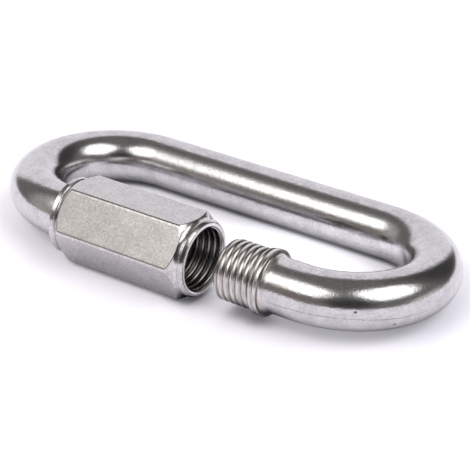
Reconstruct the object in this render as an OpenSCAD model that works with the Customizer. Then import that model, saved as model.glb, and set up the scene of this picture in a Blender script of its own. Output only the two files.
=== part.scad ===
// Chain quick link: a bent round rod whose open side is closed by a sleeve nut.
// The link lies as it comes to rest, on its far leg and on one edge of the nut.
// +X runs along the nut's leg and is the way the nut screws shut.

/* [Bent rod] */
// Diameter of the rod
rod_d = 9.7; // [9:0.1:10.1]
// Inner radius of the two bows
bow_r = 10.2; // [9:0.1:12]
// Length of the leg from the right bow to its threaded tip
right_stub = 13.7; // [12.5:0.1:18]
// Room between the nut as it lies and the left bow
back_room = 1.3; // [0.6:0.1:4]

/* [Threaded ends] */
// How far the thread stands proud of the rod
thread_rise = 0.55; // [0.5:0.05:0.7]
// Depth of the thread groove
thread_depth = 0.5; // [0.3:0.05:0.6]
// Pitch of the thread
thread_pitch = 1.2; // [0.8:0.05:1.6]
// Length of the right thread from its tip to the foot of the collar
right_thread_len = 6.8; // [5:0.1:8]
// How far the collar behind the right thread stands proud of the rod
collar_rise = 1; // [0.8:0.05:1.1]
// Length of the cone from the thread up to the collar
collar_run = 0.6; // [0.3:0.1:0.8]
// Length of the collar
collar_len = 1.4; // [0.8:0.1:2]
// Broken edge of the collar
collar_edge = 0.2; // [0.1:0.05:0.3]
// Distance between the two threaded tips
tip_distance = 11.6; // [10.5:0.1:13]
// Chamfer of the threaded tips
tip_chamfer = 0.5; // [0.3:0.1:1.2]
// Length of the cone behind the left thread
left_run = 0.6; // [0.3:0.1:1]

/* [Sleeve nut] */
// Width across the nut's flats
nut_af = 14; // [13.8:0.1:16]
// Length of the nut
nut_len = 28.4; // [26:0.1:32]
// Step from a flat down to the round end of the nut
end_step = 0.2; // [0.1:0.05:0.3]
// Length of the nut's round ends
end_len = 1.6; // [0.8:0.1:2.4]
// Angle between the rounded corners and the nut's axis, at the round end
corner_angle = 54; // [42:1:62]
// Broken edge of the round ends
end_edge = 0.4; // [0.1:0.05:0.45]
// Width of the bevel round the threaded mouth
mouth_bevel = 0.4; // [0.3:0.05:0.6]
// Length of the closed-in lip that keeps the nut on the rod
keeper_len = 2.4; // [1.8:0.1:3.2]
// Length of the flare at the lip's open end
flare_len = 1.3; // [1:0.1:1.5]
// Width of the flare at the lip's open end
flare_width = 0.65; // [0.5:0.05:0.8]

/* [Clearances] */
// Gap between the thread and the nut's bore
thread_clearance = 0.05; // [0.02:0.01:0.1]
// Gap between the rod and the nut's closed-in lip
keeper_clearance = 0.35; // [0.25:0.05:0.4]
// Gap between the lip and the left thread when the nut is shut
stop_gap = 0.3; // [0.1:0.1:0.6]

/* [Rest] */
// Gap between the nut's mouth and the right tip as the link lies
nut_gap = 5.2; // [4.6:0.1:6]
// Turn of the nut from lying on a flat
nut_turn = 5; // [0:0.1:15]

/* [Hidden] */
$fn = 96;

// Rod and bows
rod_r = rod_d / 2;
bow_mid_r = bow_r + rod_r;
leg_len = right_stub + nut_gap + nut_len + back_room;
right_x = leg_len / 2;
left_x = -leg_len / 2;

// Places along the nut's leg
right_tip_x = right_x - right_stub;
collar_foot_x = right_tip_x + right_thread_len;
collar_x = collar_foot_x + collar_run;
shoulder_x = collar_x + collar_len;
left_tip_x = right_tip_x - tip_distance;
mouth_x = right_tip_x - nut_gap;
nut_back_x = mouth_x - nut_len;
close_travel = collar_foot_x - mouth_x;
left_thread_x = nut_back_x + close_travel + keeper_len + stop_gap;

// Radii of the thread and of the nut
thread_r = rod_r + thread_rise;
thread_root_r = thread_r - thread_depth;
collar_r = rod_r + collar_rise;
bore_r = thread_r + thread_clearance;
keeper_r = rod_r + keeper_clearance;
nut_corner_r = nut_af / 2 / cos(30);
end_r = nut_af / 2 - end_step;
ball_r = end_r / cos(corner_angle);
ball_depth = end_len + end_r * tan(corner_angle);
corner_depth = ball_depth - sqrt(ball_r * ball_r - nut_corner_r * nut_corner_r);
overrun = 1;

// How the link lies: the far leg and the nut's lowest edge touch the ground
edge_turn = 30 - nut_turn;
lean = asin((nut_corner_r * cos(edge_turn) - rod_r) / (2 * bow_mid_r));
low_y = -bow_mid_r * cos(lean) - nut_corner_r * cos(nut_turn);
high_y = bow_mid_r * cos(lean) + rod_r;
rest_z = bow_mid_r * sin(lean) + rod_r;

// Puts the flat-drawn link on the ground, centred on its outline
module at_rest() {
    translate([0, -(low_y + high_y) / 2, rest_z])
        rotate([-lean, 0, 0])
            children();
}

// Turns a profile of [radius, place along the leg] points about the leg's axis
module turned(points) {
    translate([0, -bow_mid_r, 0])
        rotate([0, 90, 0])
            rotate_extrude()
                polygon(points);
}

// A half-round bow of the rod, starting at an angle about its centre
module bow(centre_x, from_angle) {
    translate([centre_x, 0, 0])
        rotate([0, 0, from_angle])
            rotate_extrude(angle = 180)
                translate([bow_mid_r, 0])
                    circle(r = rod_r);
}

// A straight stretch of the rod
module leg(from_x, to_x, side_y) {
    translate([from_x, side_y, 0])
        rotate([0, 90, 0])
            cylinder(r = rod_r, h = to_x - from_x);
}

// Grooves of a thread between two places, one after each crest
function thread_points(from_x, to_x) =
    let (
        turns = floor((to_x - from_x) / thread_pitch),
        flat = thread_pitch / 8,
        flank = thread_pitch * 3 / 8
    )
    [
        for (turn = [0 : turns - 1])
            let (groove_x = from_x + turn * thread_pitch + flat)
            each [
                [thread_r, groove_x],
                [thread_root_r, groove_x + flank],
                [thread_root_r, groove_x + flank + flat],
                [thread_r, groove_x + 2 * flank + flat]
            ]
    ];

// Right end: threaded tip, run-out cone and collar with its shoulder
module right_end() {
    thread_x = right_tip_x + tip_chamfer;
    turned(concat(
        [[0, right_tip_x], [thread_r - tip_chamfer, right_tip_x], [thread_r, thread_x]],
        thread_points(thread_x, collar_foot_x),
        [
            [thread_r, collar_foot_x],
            [collar_r, collar_x],
            [collar_r, shoulder_x - collar_edge],
            [collar_r - collar_edge, shoulder_x],
            [0, shoulder_x]
        ]
    ));
}

// Left end: the thread that always stays inside the nut
module left_end() {
    run_x = left_thread_x + left_run;
    thread_end_x = left_tip_x - tip_chamfer;
    turned(concat(
        [[0, left_thread_x], [rod_r, left_thread_x], [thread_r, run_x]],
        thread_points(run_x, thread_end_x),
        [[thread_r, thread_end_x], [thread_r - tip_chamfer, left_tip_x], [0, left_tip_x]]
    ));
}

// The bent rod: one piece from the left tip round both bows to the right tip
module link_body() {
    color([0.78, 0.78, 0.79])
        at_rest() {
            leg(left_x, left_thread_x, -bow_mid_r);
            leg(shoulder_x, right_x, -bow_mid_r);
            leg(left_x, right_x, bow_mid_r);
            bow(right_x, -90);
            bow(left_x, 90);
            right_end();
            left_end();
        }
}

// The hexagon, turned to the way the nut lies and long enough to be faced at both ends
module nut_hexagon() {
    translate([nut_back_x - overrun, -bow_mid_r, 0])
        rotate([edge_turn + lean, 0, 0])
            rotate([0, 90, 0])
                cylinder(r = nut_corner_r, h = nut_len + 2 * overrun, $fn = 6);
}

// What is turned away at an end of the hexagon: its face, its corners and the step to the round end
module end_cut(end_x, outward) {
    inner_x = end_x - outward * (corner_depth + overrun);
    outer_x = end_x + outward * 2 * overrun;
    difference() {
        turned([
            [0, inner_x],
            [nut_corner_r + overrun, inner_x],
            [nut_corner_r + overrun, outer_x],
            [0, outer_x]
        ]);
        translate([end_x - outward * ball_depth, -bow_mid_r, 0])
            rotate([0, 90, 0])
                sphere(r = ball_r);
        turned([
            [0, inner_x - outward * overrun],
            [end_r, inner_x - outward * overrun],
            [end_r, end_x - outward * end_edge],
            [end_r - end_edge, end_x],
            [0, end_x]
        ]);
    }
}

// Bore of the nut: flared lip, lip, threaded length and bevelled mouth
module nut_bore() {
    turned([
        [0, nut_back_x - overrun],
        [keeper_r + flare_width, nut_back_x - overrun],
        [keeper_r + flare_width, nut_back_x],
        [keeper_r, nut_back_x + flare_len],
        [keeper_r, nut_back_x + keeper_len],
        [bore_r, nut_back_x + keeper_len],
        [bore_r, mouth_x - mouth_bevel],
        [bore_r + mouth_bevel, mouth_x],
        [bore_r + mouth_bevel, mouth_x + overrun],
        [0, mouth_x + overrun]
    ]);
}

// The sleeve nut, backed off on the left thread
module sleeve_nut() {
    color([0.74, 0.73, 0.72])
        at_rest()
            difference() {
                nut_hexagon();
                end_cut(mouth_x, 1);
                end_cut(nut_back_x, -1);
                nut_bore();
            }
}

link_body();
sleeve_nut();
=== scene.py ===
"""Chain quick link of polished stainless steel: a bent rod with a threaded end, and its sleeve nut."""

from math import asin, ceil, cos, pi, radians, sin, sqrt, tan

import bmesh
import bpy
from mathutils import Matrix, Vector


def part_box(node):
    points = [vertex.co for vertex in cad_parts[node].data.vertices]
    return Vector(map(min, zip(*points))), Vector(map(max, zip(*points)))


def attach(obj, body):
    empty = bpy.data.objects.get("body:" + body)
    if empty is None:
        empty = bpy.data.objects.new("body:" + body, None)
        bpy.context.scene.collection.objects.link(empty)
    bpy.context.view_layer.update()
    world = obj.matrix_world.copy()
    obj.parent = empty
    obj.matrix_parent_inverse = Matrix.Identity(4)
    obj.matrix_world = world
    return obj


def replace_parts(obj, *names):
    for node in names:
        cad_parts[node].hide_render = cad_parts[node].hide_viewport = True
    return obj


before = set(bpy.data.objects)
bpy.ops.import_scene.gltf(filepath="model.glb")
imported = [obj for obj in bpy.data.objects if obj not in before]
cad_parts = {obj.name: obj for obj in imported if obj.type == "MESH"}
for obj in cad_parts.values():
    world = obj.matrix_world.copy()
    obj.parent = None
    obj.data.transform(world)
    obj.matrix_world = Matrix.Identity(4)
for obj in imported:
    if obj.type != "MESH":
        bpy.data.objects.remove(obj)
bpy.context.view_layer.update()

# Sizes of the bent rod and its threaded ends, in metres
MM = 0.001
ROD_R = 4.85 * MM
ROD_SIDES = 128
BOW_MID_R = 15.05 * MM
THREAD_R = 5.4 * MM
THREAD_DEPTH = 0.33 * MM
THREAD_PITCH = 1.2 * MM
THREAD_SHARPNESS = 2.7
RIGHT_THREAD_LEN = 6.8 * MM
LEFT_THREAD_LEN = 7.3 * MM
LEFT_RUN = 0.6 * MM
TIP_DISTANCE = 11.6 * MM
TIP_CHAMFER = 0.5 * MM
TIP_ROUND = 0.15 * MM
COLLAR_R = 5.85 * MM
COLLAR_RUN = 0.6 * MM
COLLAR_LEN = 1.4 * MM
THREAD_TO_SHOULDER = 0.45 * MM
FILLET_LEN = 1.1 * MM
FILLET_RISE = 0.4 * MM

# Sizes of the sleeve nut. Its thread goes outwards from the bore, clear of the rod's at every travel
NUT_FLAT_R = 7 * MM
NUT_SIDES = 240
NUT_EDGE_R = 0.75 * MM
NUT_END_R = 6.8 * MM
NUT_END_LEN = 1.6 * MM
CORNER_CUT_ANGLE = radians(54)
BACK_BLEND = 0.5 * MM
MOUTH_BLEND = 0.2 * MM
NUT_BORE_R = 5.45 * MM
NUT_THREAD_DEPTH = 0.25 * MM
NUT_ROOT_R = NUT_BORE_R + NUT_THREAD_DEPTH
KEEPER_R = 5.2 * MM
KEEPER_LEN = 2.4 * MM
FLARE_LEN = 1.3 * MM
LIP_EDGE_R = 5.85 * MM
MOUTH_EDGE_R = 5.85 * MM
MOUTH_BEVEL = 0.4 * MM
NUT_GAP = 5.2 * MM
NUT_TURN = radians(5)

# Small lengths that keep the meshes closed and even
FACE_DRAFT = 0.004 * MM
POINT_R = 0.02 * MM
MERGE_GAP = 0.002 * MM
THREAD_STEP = THREAD_PITCH / 16
ARC_STEP = 0.06 * MM
ARC_OVERRUN = 0.3 * MM

# Places along the nut's leg, counted from the frame
link_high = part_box("link_body")[1]
nut_low, nut_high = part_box("sleeve_nut")
BOW_X = link_high.x - BOW_MID_R - ROD_R
MOUTH_X = nut_high.x
BACK_X = nut_low.x
RIGHT_TIP_X = MOUTH_X + NUT_GAP
LEFT_TIP_X = RIGHT_TIP_X - TIP_DISTANCE
COLLAR_FOOT_X = RIGHT_TIP_X + RIGHT_THREAD_LEN
COLLAR_X = COLLAR_FOOT_X + COLLAR_RUN
SHOULDER_X = COLLAR_X + COLLAR_LEN
LEFT_THREAD_X = LEFT_TIP_X - LEFT_THREAD_LEN

# How the link lies: on its far leg and on the nut's lowest edge
NUT_CORNER_R = NUT_FLAT_R / cos(radians(30))
LEAN = asin((NUT_CORNER_R * cos(radians(30) - NUT_TURN) - ROD_R) / (2 * BOW_MID_R))
FAR_AXIS = Vector((0, link_high.y - ROD_R, ROD_R))
ACROSS = Vector((0, cos(LEAN), -sin(LEAN)))
LOOP_CENTRE = FAR_AXIS - ACROSS * BOW_MID_R
NUT_AXIS = FAR_AXIS - ACROSS * 2 * BOW_MID_R


class Graph:
    """A node tree with short calls for the nodes that this script needs."""

    def __init__(self, tree):
        self.tree = tree

    def feed(self, socket, value):
        if isinstance(value, bpy.types.NodeSocket):
            self.tree.links.new(value, socket)
        elif value is not None:
            socket.default_value = value

    def node(self, kind, *inputs, **settings):
        made = self.tree.nodes.new(kind)
        for name, value in settings.items():
            setattr(made, name, value)
        for socket, value in zip(made.inputs, inputs):
            self.feed(socket, value)
        return made

    def named(self, kind, inputs, **settings):
        made = self.node(kind, **settings)
        for name, value in inputs.items():
            self.feed(made.inputs[name], value)
        return made

    def math(self, operation, *inputs):
        return self.node("ShaderNodeMath", *inputs, operation=operation).outputs[0]

    def vector(self, operation, *inputs):
        return self.node("ShaderNodeVectorMath", *inputs, operation=operation).outputs[0]

    def smooth(self, value, low, high):
        made = self.named(
            "ShaderNodeMapRange",
            {"Value": value, "From Min": low, "From Max": high},
            interpolation_type="SMOOTHSTEP",
        )
        return made.outputs["Result"]


def tone(graph, share, first, second):
    """A colour between two, by a share."""
    mix = graph.node("ShaderNodeMix", data_type="RGBA")
    graph.feed(mix.inputs["Factor"], share)
    graph.feed(mix.inputs[6], first)
    graph.feed(mix.inputs[7], second)
    return mix.outputs[2]


def between(graph, share, first, second):
    """A number between two, by a share."""
    mix = graph.node("ShaderNodeMix")
    graph.feed(mix.inputs["Factor"], share)
    graph.feed(mix.inputs[2], first)
    graph.feed(mix.inputs[3], second)
    return mix.outputs[0]


def shape_tree(name, sizes):
    """A Geometry Nodes tree with a geometry in and out and named sizes."""
    tree = bpy.data.node_groups.new(name, "GeometryNodeTree")
    face = tree.interface
    face.new_socket("Geometry", in_out="INPUT", socket_type="NodeSocketGeometry")
    for size, kind in sizes.items():
        face.new_socket(size, in_out="INPUT", socket_type=kind)
    face.new_socket("Geometry", in_out="OUTPUT", socket_type="NodeSocketGeometry")
    graph = Graph(tree)
    return graph, graph.node("NodeGroupInput").outputs, graph.node("NodeGroupOutput").inputs


def about_axis(graph, axis):
    """Place along X, distance from the axis and angle about it, of each point."""
    place = graph.node("GeometryNodeInputPosition").outputs[0]
    apart = graph.node("ShaderNodeSeparateXYZ", graph.vector("SUBTRACT", place, axis)).outputs
    along = graph.node("ShaderNodeSeparateXYZ", place).outputs[0]
    distance = graph.math("SQRT", graph.math("ADD", graph.math("MULTIPLY", apart[1], apart[1]),
                                             graph.math("MULTIPLY", apart[2], apart[2])))
    angle = graph.math("ARCTAN2", apart[2], apart[1])
    return along, distance, angle


def put_about_axis(graph, geometry, axis, along, distance, angle):
    """Moves each point to a place along X, a distance from the axis and an angle about it."""
    offset = graph.node(
        "ShaderNodeCombineXYZ",
        0.0,
        graph.math("MULTIPLY", distance, graph.math("COSINE", angle)),
        graph.math("MULTIPLY", distance, graph.math("SINE", angle)),
    ).outputs[0]
    flat_axis = graph.vector("MULTIPLY", axis, (0, 1, 1))
    base = graph.node("ShaderNodeCombineXYZ", along, 0.0, 0.0).outputs[0]
    place = graph.vector("ADD", graph.vector("ADD", base, flat_axis), offset)
    return graph.node("GeometryNodeSetPosition", geometry, True, place).outputs[0]


def thread_tree():
    """Cuts a right-hand thread into the points that lie close about an axis along X."""
    graph, given, out = shape_tree("cut_thread", {
        "Axis": "NodeSocketVector",
        "Reach": "NodeSocketFloat",
        "Outer radius": "NodeSocketFloat",
        "Depth": "NodeSocketFloat",
        "Pitch": "NodeSocketFloat",
        "Sharpness": "NodeSocketFloat",
        "From": "NodeSocketFloat",
        "To": "NodeSocketFloat",
        "Fade": "NodeSocketFloat",
    })
    along, distance, angle = about_axis(graph, given["Axis"])
    turns = graph.math("SUBTRACT", graph.math("DIVIDE", along, given["Pitch"]),
                       graph.math("DIVIDE", angle, 2 * pi))
    wave = graph.math("ABSOLUTE", graph.math("SUBTRACT", graph.math("MULTIPLY",
                      graph.math("FRACT", turns), 2.0), 1.0))
    groove = graph.math("POWER", wave, given["Sharpness"])
    begun = graph.smooth(along, given["From"], graph.math("ADD", given["From"], given["Fade"]))
    ended = graph.smooth(along, given["To"], graph.math("SUBTRACT", given["To"], given["Fade"]))
    close = graph.math("LESS_THAN", distance, given["Reach"])
    share = graph.math("MULTIPLY", graph.math("MULTIPLY", begun, ended), close)
    full = graph.math("MAXIMUM", distance, given["Outer radius"])
    cut = graph.math("SUBTRACT", full, graph.math("MULTIPLY", groove, given["Depth"]))
    drop = graph.math("SUBTRACT", graph.math("MINIMUM", cut, distance), distance)
    threaded = graph.math("ADD", distance, graph.math("MULTIPLY", drop, share))
    marked = given[0]
    # The groove share also serves the materials as the mask of painted shade in the thread roots.
    for name, mark in (("threaded", share), ("groove", graph.math("MULTIPLY", groove, share))):
        mark = graph.math("MAXIMUM", read_attribute(graph, name), mark)
        marked = store_attribute(graph, marked, name, mark)
    graph.feed(out[0], put_about_axis(graph, marked, given["Axis"], along, threaded, angle))
    return graph.tree


def cut_thread(graph, tree, geometry, sizes):
    made = graph.node("GeometryNodeGroup", node_tree=tree)
    graph.feed(made.inputs["Geometry"], geometry)
    for name, value in sizes.items():
        graph.feed(made.inputs[name], value)
    return made.outputs[0]


def read_attribute(graph, name, kind="FLOAT"):
    return graph.node("GeometryNodeInputNamedAttribute", name, data_type=kind).outputs[0]


def store_attribute(graph, geometry, name, value, kind="FLOAT"):
    made = graph.named(
        "GeometryNodeStoreNamedAttribute",
        {"Geometry": geometry, "Name": name, "Value": value},
        data_type=kind,
        domain="POINT",
    )
    return made.outputs[0]


def swept_skin(graph, geometry, sides, closed_ends):
    """A round skin about a chain of edges, with the chain's own radius at each point.

    Each point keeps where it would be on a straight rod: along it, and across it."""
    radius = read_attribute(graph, "skin_radius")
    line = graph.node("GeometryNodeMeshToCurve", geometry).outputs[0]
    length = graph.node("GeometryNodeSplineParameter").outputs["Length"]
    line = store_attribute(graph, line, "along", length)
    circle = {"Resolution": sides, "Radius": 1.0}
    ring = graph.named("GeometryNodeCurvePrimitiveCircle", circle).outputs[0]
    on_circle = graph.node("GeometryNodeInputPosition").outputs[0]
    ring = store_attribute(graph, ring, "around", on_circle, "FLOAT_VECTOR")
    skin = graph.named("GeometryNodeCurveToMesh",
                       {"Curve": line, "Profile Curve": ring, "Scale": radius, "Fill Caps": closed_ends})
    around = graph.vector("SCALE", read_attribute(graph, "around", "FLOAT_VECTOR"), None, None, ROD_R)
    flat = graph.node("ShaderNodeSeparateXYZ", around).outputs
    along = read_attribute(graph, "along")
    straight = graph.node("ShaderNodeCombineXYZ", along, flat[0], flat[1]).outputs[0]
    return store_attribute(graph, skin.outputs[0], "straight", straight, "FLOAT_VECTOR")


def finish_tree(graph, out, geometry, material):
    """Ends a tree with real, smoothly shaded geometry of one material."""
    real = graph.node("GeometryNodeRealizeInstances", geometry).outputs[0]
    smooth = graph.node("GeometryNodeSetShadeSmooth", real).outputs[0]
    done = graph.named("GeometryNodeSetMaterial", {"Geometry": smooth, "Material": material})
    graph.feed(out[0], done.outputs[0])


def bent_rod_tree(thread, material):
    """The bent rod: a skin along its path, with a thread cut on both ends."""
    graph, given, out = shape_tree("bent_rod", {
        "Sides": "NodeSocketInt",
        "Axis": "NodeSocketVector",
        "Thread radius": "NodeSocketFloat",
        "Thread depth": "NodeSocketFloat",
        "Thread pitch": "NodeSocketFloat",
        "Right from": "NodeSocketFloat",
        "Right to": "NodeSocketFloat",
        "Left from": "NodeSocketFloat",
        "Left to": "NodeSocketFloat",
    })
    skin = swept_skin(graph, given[0], given["Sides"], True)
    for side in ("Right", "Left"):
        skin = cut_thread(graph, thread, skin, {
            "Axis": given["Axis"],
            "Reach": graph.math("MULTIPLY", given["Thread radius"], 1.2),
            "Outer radius": given["Thread radius"],
            "Depth": given["Thread depth"],
            "Pitch": given["Thread pitch"],
            "Sharpness": THREAD_SHARPNESS,
            "From": given[side + " from"],
            "To": given[side + " to"],
            "Fade": graph.math("MULTIPLY", given["Thread pitch"], 0.4),
        })
    finish_tree(graph, out, skin, material)
    return graph.tree


def sleeve_nut_tree(thread, material):
    """The sleeve nut: round skins drawn in to a hexagon outside, and threaded inside."""
    graph, given, out = shape_tree("sleeve_nut", {
        "Sides": "NodeSocketInt",
        "Axis": "NodeSocketVector",
        "Flat radius": "NodeSocketFloat",
        "Edge radius": "NodeSocketFloat",
        "Back blend": "NodeSocketFloat",
        "Mouth blend": "NodeSocketFloat",
        "Corner angle": "NodeSocketFloat",
        "Root radius": "NodeSocketFloat",
        "Thread depth": "NodeSocketFloat",
        "Thread pitch": "NodeSocketFloat",
        "Thread from": "NodeSocketFloat",
        "Thread to": "NodeSocketFloat",
    })
    skin = swept_skin(graph, given[0], given["Sides"], False)
    along, distance, angle = about_axis(graph, given["Axis"])
    sixth = radians(60)
    half = sixth / 2
    crowding = 0.75

    # The points of each flat crowd towards its two edges
    past_corner = graph.math("SUBTRACT", angle, given["Corner angle"])
    share = graph.math("FRACT", graph.math("DIVIDE", past_corner, sixth))
    across = graph.math("SUBTRACT", graph.math("MULTIPLY", share, 2.0), 1.0)
    crowded = graph.math("SINE", graph.math("MULTIPLY", across, pi / 2))
    eased = graph.math("ADD", graph.math("MULTIPLY", across, 1 - crowding),
                       graph.math("MULTIPLY", crowded, crowding))
    from_flat = graph.math("MULTIPLY", eased, half)
    shift = graph.math("MULTIPLY", graph.math("SUBTRACT", eased, across), half)
    turned = graph.math("ADD", angle, shift)

    # The hexagon, with an arc over each edge
    flat = graph.math("DIVIDE", given["Flat radius"], graph.math("COSINE", from_flat))
    from_corner = graph.math("SUBTRACT", half, graph.math("ABSOLUTE", from_flat))
    arc_middle = graph.math("SUBTRACT", given["Flat radius"], given["Edge radius"])
    inset = graph.math("DIVIDE", arc_middle, cos(half))
    sideways = graph.math("MULTIPLY", inset, graph.math("SINE", from_corner))
    outwards = graph.math("SUBTRACT", graph.math("POWER", given["Edge radius"], 2.0),
                          graph.math("POWER", sideways, 2.0))
    edge = graph.math("ADD", graph.math("MULTIPLY", inset, graph.math("COSINE", from_corner)),
                      graph.math("SQRT", graph.math("MAXIMUM", outwards, 0.0)))
    arc_side = graph.math("MULTIPLY", given["Edge radius"], sin(half))
    arc_out = graph.math("ADD", inset, graph.math("MULTIPLY", given["Edge radius"], cos(half)))
    edge_end = graph.math("ARCTAN2", arc_side, arc_out)
    on_edge = graph.math("LESS_THAN", from_corner, edge_end)
    hexagon = between(graph, on_edge, flat, edge)

    # The turned ends blend into the hexagon, and ends and edges are rubbed bright
    at_mouth = graph.math("GREATER_THAN", along, (BACK_X + MOUTH_X) / 2)
    blend = between(graph, at_mouth, given["Back blend"], given["Mouth blend"])
    drawn = graph.math("SMOOTH_MIN", distance, hexagon, blend)
    round_end = graph.smooth(graph.math("SUBTRACT", distance, hexagon), 0.02 * MM, -0.1 * MM)
    rubbed = graph.smooth(from_corner, graph.math("MULTIPLY", edge_end, 1.15), edge_end)
    skin = store_attribute(graph, skin, "rubbed", graph.math("MAXIMUM", round_end, rubbed))
    skin = put_about_axis(graph, skin, given["Axis"], along, drawn, turned)
    skin = cut_thread(graph, thread, skin, {
        "Axis": given["Axis"],
        "Reach": graph.math("MULTIPLY", given["Root radius"], 1.02),
        "Outer radius": given["Root radius"],
        "Depth": given["Thread depth"],
        "Pitch": given["Thread pitch"],
        "Sharpness": THREAD_SHARPNESS,
        "From": given["Thread from"],
        "To": given["Thread to"],
        "Fade": graph.math("MULTIPLY", given["Thread pitch"], 0.5),
    })
    merged = graph.named("GeometryNodeMergeByDistance", {"Geometry": skin, "Distance": MERGE_GAP})
    finish_tree(graph, out, merged.outputs[0], material)
    return graph.tree


def rounded(points, steps=5):
    """A line of [x, radius] points, from corners of [x, radius, rounding]."""
    made = [Vector(points[0][:2])]
    for before, corner, after in zip(points, points[1:], points[2:]):
        rounding = corner[2]
        before, corner, after = (Vector(point[:2]) for point in (before, corner, after))
        reach = rounding / tan((before - corner).angle(after - corner) / 2)
        start = corner + (before - corner).normalized() * reach
        end = corner + (after - corner).normalized() * reach
        for step in range(steps + 1):
            t = step / steps
            made.append(start * (1 - t) ** 2 + corner * 2 * t * (1 - t) + end * t ** 2)
    made.append(Vector(points[-1][:2]))
    return made


def filled(points, spacing, plain_r=0):
    """The same line with more points along X, spaced eight times wider at the plain radius."""
    made = [points[0]]
    for before, after in zip(points, points[1:]):
        plain = before[1] == after[1] == plain_r
        count = max(1, ceil(abs(after[0] - before[0]) / (spacing * 8 if plain else spacing)))
        made += [before.lerp(after, step / count) for step in range(1, count + 1)]
    return made


def chain_object(name, chains):
    """An object of edge chains, each a list of (place, radius)."""
    places, edges, radii = [], [], []
    for chain in chains:
        first = len(places)
        places += [place for place, _ in chain]
        radii += [radius for _, radius in chain]
        edges += [(k, k + 1) for k in range(first, len(places) - 1)]
    mesh = bpy.data.meshes.new(name)
    mesh.from_pydata(places, edges, [])
    mesh.attributes.new("skin_radius", "FLOAT", "POINT").data.foreach_set("value", radii)
    made = bpy.data.objects.new(name, mesh)
    bpy.context.scene.collection.objects.link(made)
    return made


def grow(carrier, tree, sizes):
    """Runs a shape tree on its carrier and keeps the result as a plain mesh."""
    modifier = carrier.modifiers.new(tree.name, "NODES")
    modifier.node_group = tree
    for item in tree.interface.items_tree:
        if item.in_out == "INPUT" and item.name in sizes:
            modifier[item.identifier] = sizes[item.name]
    carrier.update_tag()
    done = carrier.evaluated_get(bpy.context.evaluated_depsgraph_get())
    mesh = bpy.data.meshes.new_from_object(done)
    carrier.modifiers.remove(modifier)
    carrier.data = mesh
    shape = bmesh.new()
    shape.from_mesh(mesh)
    bmesh.ops.recalc_face_normals(shape, faces=shape.faces)
    shape.to_mesh(mesh)
    shape.free()
    return carrier


def on_leg(profile):
    """Places a profile of [x, radius] points on the nut's leg."""
    return [(NUT_AXIS + Vector((point[0], 0, 0)), point[1]) for point in profile]


def left_end():
    """From the left tip to the plain rod."""
    return rounded([
        (LEFT_TIP_X, POINT_R),
        (LEFT_TIP_X - FACE_DRAFT, THREAD_R - TIP_CHAMFER, TIP_ROUND),
        (LEFT_TIP_X - TIP_CHAMFER, THREAD_R, TIP_ROUND),
        (LEFT_THREAD_X + LEFT_RUN, THREAD_R, TIP_ROUND),
        (LEFT_THREAD_X, ROD_R, TIP_ROUND),
        (-BOW_X, ROD_R),
    ])


def right_end():
    """From the plain rod over the filleted shoulder and the collar to the right tip."""
    return rounded([
        (BOW_X, ROD_R),
        (SHOULDER_X + FILLET_LEN, ROD_R, 2.6 * MM),
        (SHOULDER_X + FACE_DRAFT, ROD_R + FILLET_RISE, 0.3 * MM),
        (SHOULDER_X, COLLAR_R, 0.15 * MM),
        (COLLAR_X, COLLAR_R, 0.3 * MM),
        (COLLAR_FOOT_X, THREAD_R, 0.2 * MM),
        (RIGHT_TIP_X + TIP_CHAMFER, THREAD_R, TIP_ROUND),
        (RIGHT_TIP_X + FACE_DRAFT, THREAD_R - TIP_CHAMFER, TIP_ROUND),
        (RIGHT_TIP_X, POINT_R),
    ])


def bow(centre_x, start, steps=72):
    """Half a turn of the rod about a bow's centre, without its ends."""
    made = []
    for step in range(1, steps):
        angle = start + pi * step / steps
        offset = Vector((cos(angle), 0, 0)) + ACROSS * sin(angle)
        made.append((LOOP_CENTRE + Vector((centre_x, 0, 0)) + offset * BOW_MID_R, ROD_R))
    return made


def far_leg(steps=12):
    """The straight leg across from the nut, from the left bow to the right one."""
    start = FAR_AXIS - Vector((BOW_X, 0, 0))
    return [(start + Vector((2 * BOW_X * step / steps, 0, 0)), ROD_R) for step in range(steps + 1)]


def make_link_body(thread, material):
    left = on_leg(filled(left_end(), THREAD_STEP, ROD_R))
    right = on_leg(filled(right_end(), THREAD_STEP, ROD_R))
    turned_left = list(reversed(bow(-BOW_X, pi / 2)))
    turned_right = list(reversed(bow(BOW_X, -pi / 2)))
    path = left + turned_left + far_leg() + turned_right + right
    carrier = chain_object("quick_link_body", [path])
    return grow(carrier, bent_rod_tree(thread, material), {
        "Sides": ROD_SIDES,
        "Axis": NUT_AXIS,
        "Thread radius": THREAD_R,
        "Thread depth": THREAD_DEPTH,
        "Thread pitch": THREAD_PITCH,
        "Right from": RIGHT_TIP_X - THREAD_PITCH,
        "Right to": SHOULDER_X - THREAD_TO_SHOULDER,
        "Left from": LEFT_THREAD_X,
        "Left to": LEFT_TIP_X + THREAD_PITCH,
    })


def corner_arc(from_depth):
    """The ball-shaped cut over the hexagon's corners, by depth from the nut's end."""
    ball_r = NUT_END_R / cos(CORNER_CUT_ANGLE)
    ball_depth = NUT_END_LEN + NUT_END_R * tan(CORNER_CUT_ANGLE)
    deep = ball_depth - sqrt(ball_r ** 2 - (NUT_CORNER_R + ARC_OVERRUN) ** 2)
    count = ceil((deep - from_depth) / ARC_STEP)
    depths = [from_depth + (deep - from_depth) * step / count for step in range(count + 1)]
    return [Vector((depth, sqrt(ball_r ** 2 - (ball_depth - depth) ** 2))) for depth in depths]


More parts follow.
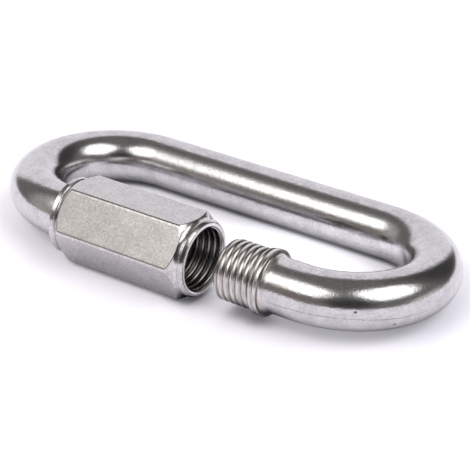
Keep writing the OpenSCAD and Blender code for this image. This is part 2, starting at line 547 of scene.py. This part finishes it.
def nut_outside():
    """Profile of the nut's outside, from the flared lip's edge to the bevelled mouth's edge.

    Each end has a turned bead and a narrow groove, as [depth from the end, radius, rounding]."""
    back_arc = corner_arc(NUT_END_LEN)
    back = rounded([
        (0, LIP_EDGE_R),
        (FACE_DRAFT, 6.6 * MM, 0.12 * MM),
        (0.18 * MM, 6.88 * MM, 0.1 * MM),
        (0.9 * MM, 6.75 * MM, 0.05 * MM),
        (1.05 * MM, 6.56 * MM, 0.06 * MM),
        tuple(back_arc[0]),
    ]) + back_arc[1:]
    mouth_arc = corner_arc(1.7 * MM)
    mouth = rounded([
        (0, MOUTH_EDGE_R),
        (FACE_DRAFT, 6.5 * MM, 0.2 * MM),
        (0.75 * MM, 6.9 * MM, 0.25 * MM),
        (0.98 * MM, 6.66 * MM, 0.06 * MM),
        tuple(mouth_arc[0]),
    ]) + mouth_arc[1:]
    line = [Vector((BACK_X + point[0], point[1])) for point in back]
    line += [Vector((MOUTH_X - point[0], point[1])) for point in reversed(mouth)]
    return filled(line, 1.0 * MM)


def nut_inside():
    """Profile of the nut's bore, from the flared lip's edge to the bevelled mouth's edge."""
    round_r = 0.08 * MM
    line = rounded([
        (BACK_X, LIP_EDGE_R),
        (BACK_X + FLARE_LEN, KEEPER_R, round_r),
        (BACK_X + KEEPER_LEN, KEEPER_R, round_r),
        (BACK_X + KEEPER_LEN + FACE_DRAFT, NUT_ROOT_R, round_r),
        (MOUTH_X - MOUTH_BEVEL, NUT_ROOT_R, round_r),
        (MOUTH_X, MOUTH_EDGE_R),
    ])
    return filled(line, THREAD_PITCH / 11)


def make_sleeve_nut(thread, material):
    carrier = chain_object("sleeve_nut_dressed", [on_leg(nut_outside()), on_leg(nut_inside())])
    return grow(carrier, sleeve_nut_tree(thread, material), {
        "Sides": NUT_SIDES,
        "Axis": NUT_AXIS,
        "Flat radius": NUT_FLAT_R,
        "Edge radius": NUT_EDGE_R,
        "Back blend": BACK_BLEND,
        "Mouth blend": MOUTH_BLEND,
        "Corner angle": -radians(60) - NUT_TURN,
        "Root radius": NUT_ROOT_R,
        "Thread depth": NUT_THREAD_DEPTH,
        "Thread pitch": THREAD_PITCH,
        "Thread from": BACK_X + KEEPER_LEN,
        "Thread to": MOUTH_X,
    })


def new_material(name):
    made = bpy.data.materials.new(name)
    made.use_nodes = True
    made.node_tree.nodes.clear()
    graph = Graph(made.node_tree)
    shader = graph.node("ShaderNodeBsdfPrincipled")
    graph.node("ShaderNodeOutputMaterial", shader.outputs[0])
    return made, graph, shader.inputs


def attribute(graph, name, output="Fac"):
    return graph.node("ShaderNodeAttribute", attribute_name=name).outputs[output]


def noise(graph, place, scale, detail=2.0):
    made = graph.named("ShaderNodeTexNoise", {"Vector": place, "Scale": scale, "Detail": detail})
    return made.outputs["Fac"]


def bump(graph, height, depth):
    made = graph.named("ShaderNodeBump", {"Height": height, "Distance": depth, "Strength": 1.0})
    return made.outputs["Normal"]


def close_to(graph, place, centre, radius):
    """The share of a soft round spot about a centre."""
    apart = graph.node("ShaderNodeVectorMath", place, centre, operation="DISTANCE").outputs["Value"]
    return graph.smooth(apart, radius, radius * 0.4)


def draw_marks(graph, straight):
    """A faint draw line and two pits on the outer side of the right bow.

    Their places are on the straightened rod: along it, outwards and sideways."""
    line_ends = ((146 * MM, 150 * MM), (171 * MM, 167 * MM))
    pits = (Vector((157.3, -4.75, -0.95)) * MM, Vector((152.0, -4.48, 1.86)) * MM)
    along, out, side = graph.node("ShaderNodeSeparateXYZ", straight).outputs
    wander = graph.math("MULTIPLY", noise(graph, straight, 120, 1), 0.5 * MM)
    off_line = graph.math("ABSOLUTE", graph.math("SUBTRACT", side, graph.math("ADD", wander, 0.2 * MM)))
    line = graph.smooth(off_line, 0.12 * MM, 0.03 * MM)
    line = graph.math("MULTIPLY", line, graph.math("LESS_THAN", out, 0.0))
    for low, high in line_ends:
        line = graph.math("MULTIPLY", line, graph.smooth(along, low, high))
    line = graph.math("MULTIPLY", line, graph.smooth(noise(graph, straight, 700), 0.2, 0.5))
    marks = graph.math("MULTIPLY", line, 0.5)
    for pit in pits:
        marks = graph.math("MAXIMUM", marks, close_to(graph, straight, pit, 0.3 * MM))
    return marks


def polished_rod_steel():
    """Polished steel with faint smudges, duller on the turned and threaded ends, with painted shade in
    thread grooves and shoulder crease.
    """
    made, graph, steel = new_material("polished_rod_steel")
    straight = attribute(graph, "straight", "Vector")
    groove = attribute(graph, "groove")
    off_rod = graph.math("ABSOLUTE", graph.math("SUBTRACT", attribute(graph, "skin_radius"), ROD_R))
    dull = graph.smooth(off_rod, 0.0, 0.06 * MM)
    place = graph.node("ShaderNodeTexCoord").outputs["Object"]
    along = graph.node("ShaderNodeSeparateXYZ", place).outputs[0]
    # Painted shade: the shoulder's face and the crease at its foot are darkened in the colour by the
    # corner mask.
    at_shoulder = graph.math("ABSOLUTE", graph.math("SUBTRACT", along, SHOULDER_X))
    corner = graph.math("MULTIPLY", graph.smooth(at_shoulder, 0.2 * MM, 0.02 * MM),
                        graph.smooth(off_rod, 0.85 * MM, 0.6 * MM))
    cloud = graph.smooth(noise(graph, straight, 500, 3), 0.35, 0.7)
    grain = graph.smooth(noise(graph, straight, 2800, 3), 0.3, 0.7)
    round_about = graph.vector("MULTIPLY", straight, (1, 0.12, 0.12))
    turned = graph.smooth(noise(graph, round_about, 6000, 2), 0.3, 0.7)
    smudge = between(graph, 0.45, grain, cloud)
    polished = tone(graph, smudge, (0.61, 0.6, 0.605, 1), (0.45, 0.44, 0.445, 1))
    machined = tone(graph, turned, (0.66, 0.63, 0.61, 1), (0.45, 0.425, 0.41, 1))
    # Painted shade: the thread grooves are darkened in the colour.
    machined_with_groove_shade = tone(graph, groove, machined, (0.25, 0.22, 0.205, 1))
    clean = tone(graph, dull, polished, tone(graph, corner, machined_with_groove_shade, (0.25, 0.24, 0.23, 1)))
    graph.feed(steel["Base Color"], tone(graph, draw_marks(graph, straight), clean, (0.1, 0.09, 0.085, 1)))
    steel["Metallic"].default_value = 1
    polish = between(graph, cloud, 0.14, 0.18)
    graph.feed(steel["Roughness"], between(graph, dull, polish, 0.25))
    graph.feed(steel["Normal"], bump(graph, between(graph, dull, grain, turned), 0.007 * MM))
    return made


def satin_nut_steel():
    """Satin steel with a fine speckle, smoother on rubbed ends and edges, with painted shade darkening the
    bore, most in its thread roots.
    """
    made, graph, steel = new_material("satin_nut_steel")
    place = graph.node("ShaderNodeTexCoord").outputs["Object"]
    groove = attribute(graph, "groove")
    threaded = attribute(graph, "threaded")
    rubbed = attribute(graph, "rubbed")
    cloud = noise(graph, place, 350, 2)
    grain = noise(graph, place, 2600, 4)
    speckle = graph.math("ADD", graph.math("MULTIPLY", cloud, 0.25), graph.math("MULTIPLY", grain, 0.75))
    clean = tone(graph, graph.smooth(speckle, 0.3, 0.7), (0.645, 0.622, 0.615, 1), (0.43, 0.414, 0.417, 1))
    # Painted shade: the threaded bore is darker than the outside, and its thread roots are darkest.
    inside = tone(graph, groove, (0.22, 0.213, 0.207, 1), (0.34, 0.332, 0.324, 1))
    graph.feed(steel["Base Color"], tone(graph, threaded, clean, inside))
    steel["Metallic"].default_value = 1
    outside = between(graph, rubbed, 0.31, 0.17)
    graph.feed(steel["Roughness"], between(graph, threaded, outside, 0.26))
    graph.feed(steel["Normal"], bump(graph, grain, 0.015 * MM))
    return made


def direction(azimuth, elevation):
    """A direction from the part: azimuth from +Y towards +X, elevation above the floor, in degrees."""
    turn, rise = radians(azimuth), radians(elevation)
    return Vector((sin(turn) * cos(rise), cos(turn) * cos(rise), sin(rise)))


def add_floor():
    """A pale floor, bright for the camera and for what the steel mirrors, with soft contact shadows
    painted from ambient occlusion and a painted glow, strongest in a pool inside the loop.

    All other light finds it dull."""
    mesh = bpy.data.meshes.new("floor")
    half = 3.0
    corners = [(-half, -half, 0), (half, -half, 0), (half, half, 0), (-half, half, 0)]
    mesh.from_pydata(corners, [], [(0, 1, 2, 3)])
    floor = bpy.data.objects.new("floor", mesh)
    bpy.context.scene.collection.objects.link(floor)
    material = bpy.data.materials.new("pale_floor")
    material.use_nodes = True
    material.node_tree.nodes.clear()
    graph = Graph(material.node_tree)
    path = graph.node("ShaderNodeLightPath").outputs
    mirrored = graph.math("MAXIMUM", path["Is Glossy Ray"], path["Is Transmission Ray"])
    mirrored = graph.math("MULTIPLY", mirrored, graph.math("LESS_THAN", path["Diffuse Depth"], 0.5))
    seen = graph.math("MAXIMUM", path["Is Camera Ray"], mirrored)
    place = graph.node("ShaderNodeTexCoord").outputs["Object"]
    # Painted shade: ambient occlusion darkens the floor's colour into contact shadows, deeper in a spot
    # under the thread and softer on the nut's side; for the steel's mirror image they reach wider.
    thread_shadow_spot = close_to(graph, place, Vector((12, -17, 0)) * MM, 14 * MM)
    nut_side = graph.smooth(graph.node("ShaderNodeSeparateXYZ", place).outputs[1], -8 * MM, -14 * MM)
    near = between(graph, mirrored, between(graph, thread_shadow_spot, 0.9 * MM, 3.5 * MM), 6 * MM)
    open_sky = graph.named("ShaderNodeAmbientOcclusion", {"Distance": near}, samples=8).outputs["AO"]
    darkest = between(graph, thread_shadow_spot, between(graph, nut_side, -0.25, -1.5), 0.05)
    darkest = between(graph, mirrored, darkest, between(graph, thread_shadow_spot, -0.25, 0.3))
    clear = graph.smooth(open_sky, darkest, 0.95)
    bright = tone(graph, clear, (0, 0, 0, 1), (1.235, 1.21, 1.33, 1))
    paper = tone(graph, seen, (0.22, 0.215, 0.225, 1), bright)
    paper = graph.node("ShaderNodeBsdfDiffuse", paper).outputs[0]
    # Painted light: the floor glows for the camera and the steel, less where its shadows are painted, and
    # most in a pool inside the loop.
    loop_light_pool = close_to(graph, place, Vector((10, 3, 0)) * MM, 20 * MM)
    painted_glow = graph.math("MULTIPLY", graph.math("MULTIPLY", clear, seen), between(graph, loop_light_pool, 0.18, 0.5))
    painted_glow = graph.node("ShaderNodeEmission", (0.98, 0.96, 1.05, 1), painted_glow).outputs[0]
    graph.node("ShaderNodeOutputMaterial", graph.node("ShaderNodeAddShader", paper, painted_glow).outputs[0])
    mesh.materials.append(material)


def soft_patch(graph, look, azimuth, elevation, half_width, half_height, blur, lean=0, roundness=2):
    """The share of a soft-edged patch of the studio that lies in a direction.

    Its place, half sizes and lean are in degrees, and its blur is a share of the half sizes."""
    ahead = direction(azimuth, elevation)
    side = Vector((ahead.y, -ahead.x, 0)).normalized()
    up = side.cross(ahead)
    turn = radians(lean)
    side, up = side * cos(turn) + up * sin(turn), up * cos(turn) - side * sin(turn)

    def dot(axis):
        return graph.node("ShaderNodeVectorMath", look, axis, operation="DOT_PRODUCT").outputs["Value"]

    depth = graph.math("MAXIMUM", dot(ahead), 0.01)
    reach = 0.0
    for axis, half in ((side, half_width), (up, half_height)):
        shift = graph.math("DIVIDE", dot(axis), graph.math("MULTIPLY", depth, tan(radians(half))))
        reach = graph.math("ADD", reach, graph.math("POWER", graph.math("ABSOLUTE", shift), roundness))
    reach = graph.math("POWER", reach, 1 / roundness)
    return graph.smooth(reach, 1 + blur, 1 - blur)


def add_surroundings():
    """A dim studio with soft patches and two bright lamps. The camera itself sees plain white."""
    patches = {
        "side wall": ((-130, 30, 20.5, 40, 0.44), (0.52, 0.497, 0.468, 1)),
        "warm front": ((-168, 10, 24, 18, 0.4), (0.25, 0.215, 0.2, 1)),
        "dark front": ((144, 18, 22, 22, 0.5), (0.055, 0.053, 0.055, 1)),
        "dark back": ((15, 26, 24, 27, 0.6), (0.065, 0.063, 0.062, 1)),
        "low strip": ((67, 4, 19, 6, 0.7), (0.75, 0.73, 0.73, 1)),
        "backdrop": ((-38, 14, 36, 40, 0.12, -10), (1.08, 1.06, 1.11, 1)),
        "right lamp": ((89, 49, 24, 20.5, 0.22, 0, 3), (2.6, 2.6, 2.58, 1)),
        "front lamp": ((-161.5, 48.3, 19.8, 16, 0.55, 0, 3), (3.3, 3.27, 3.16, 1)),
    }
    world = bpy.data.worlds.new("studio")
    bpy.context.scene.world = world
    world.use_nodes = True
    world.node_tree.nodes.clear()
    graph = Graph(world.node_tree)
    look = graph.node("ShaderNodeTexCoord").outputs["Generated"]
    colour = (0.2, 0.195, 0.186, 1)
    for patch, light in patches.values():
        colour = tone(graph, soft_patch(graph, look, *patch), colour, light)
    seen = graph.node("ShaderNodeLightPath").outputs["Is Camera Ray"]
    studio = graph.node("ShaderNodeBackground", colour, 1.0).outputs[0]
    white = graph.node("ShaderNodeBackground", (1, 1, 1, 1), 1.0).outputs[0]
    mixed = graph.node("ShaderNodeMixShader", seen, studio, white).outputs[0]
    graph.node("ShaderNodeOutputWorld", mixed)


def add_camera():
    """The photograph's viewpoint."""
    target = Vector((3.54, -1.41, 6.0)) * MM
    azimuth, elevation, roll = radians(33.905), radians(28.921), radians(0.37)
    distance = 300.6 * MM
    back = Vector((sin(azimuth) * cos(elevation), -cos(azimuth) * cos(elevation), sin(elevation)))
    camera = bpy.data.cameras.new("camera")
    camera.sensor_width = 36
    camera.lens = 131.67
    camera.clip_start, camera.clip_end = 0.01, 20
    eye = bpy.data.objects.new("camera", camera)
    turn = (-back).to_track_quat("-Z", "Y").to_matrix().to_4x4() @ Matrix.Rotation(roll, 4, "Z")
    eye.matrix_world = Matrix.Translation(target + back * distance) @ turn
    bpy.context.scene.collection.objects.link(eye)
    bpy.context.scene.camera = eye


thread = thread_tree()
link_body = make_link_body(thread, polished_rod_steel())
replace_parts(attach(link_body, "link"), "link_body")
sleeve_nut = make_sleeve_nut(thread, satin_nut_steel())
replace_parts(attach(sleeve_nut, "nut"), "sleeve_nut")

add_floor()
add_surroundings()
add_camera()
bpy.context.scene.view_settings.view_transform = "Standard"
